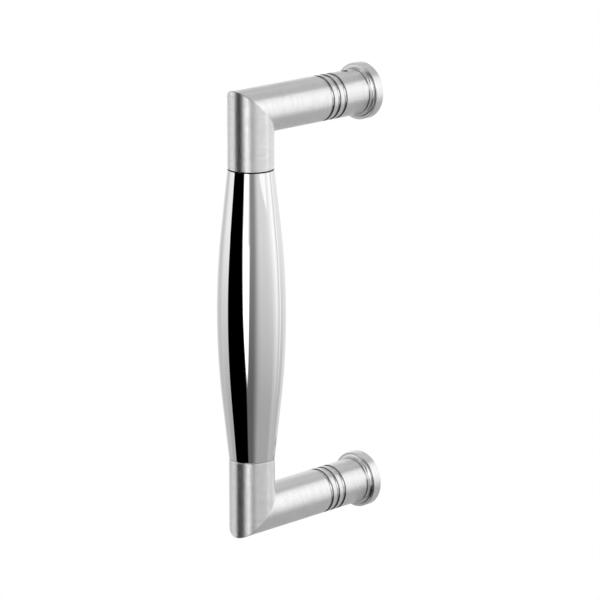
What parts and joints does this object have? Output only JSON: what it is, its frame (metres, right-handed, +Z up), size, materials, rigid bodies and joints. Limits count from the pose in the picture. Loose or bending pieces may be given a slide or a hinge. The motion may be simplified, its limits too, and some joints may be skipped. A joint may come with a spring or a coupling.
{
  "type": "door pull handle",
  "caption": "Door pull handle: a polished barrel grip between mitred satin steel elbows whose grooved arms end on coved round roses, fixed by bolts from the far side of the door.",
  "frame": {"origin": "on the door face, half way between the two fixing holes", "axes": "+Z up the door along the grip, +Y into the door, the handle stands out along -Y"},
  "size_m": [0.0298, 0.0835, 0.203],
  "materials": {
    "polished": "mirror polished",
    "satin": "satin, finely brushed round the bar",
    "fixing": "as turned",
    "grub": "dark, hardened"
  },
  "bodies": {
    "root": {"grip": "polished", "upper_elbow": "satin", "lower_elbow": "satin", "upper_rose": "satin", "lower_rose": "satin", "upper_spigot": "fixing", "lower_spigot": "fixing", "upper_grub_screw": "grub", "lower_grub_screw": "grub", "upper_grip_stud": "fixing", "lower_grip_stud": "fixing"}
  },
  "joints": []
}
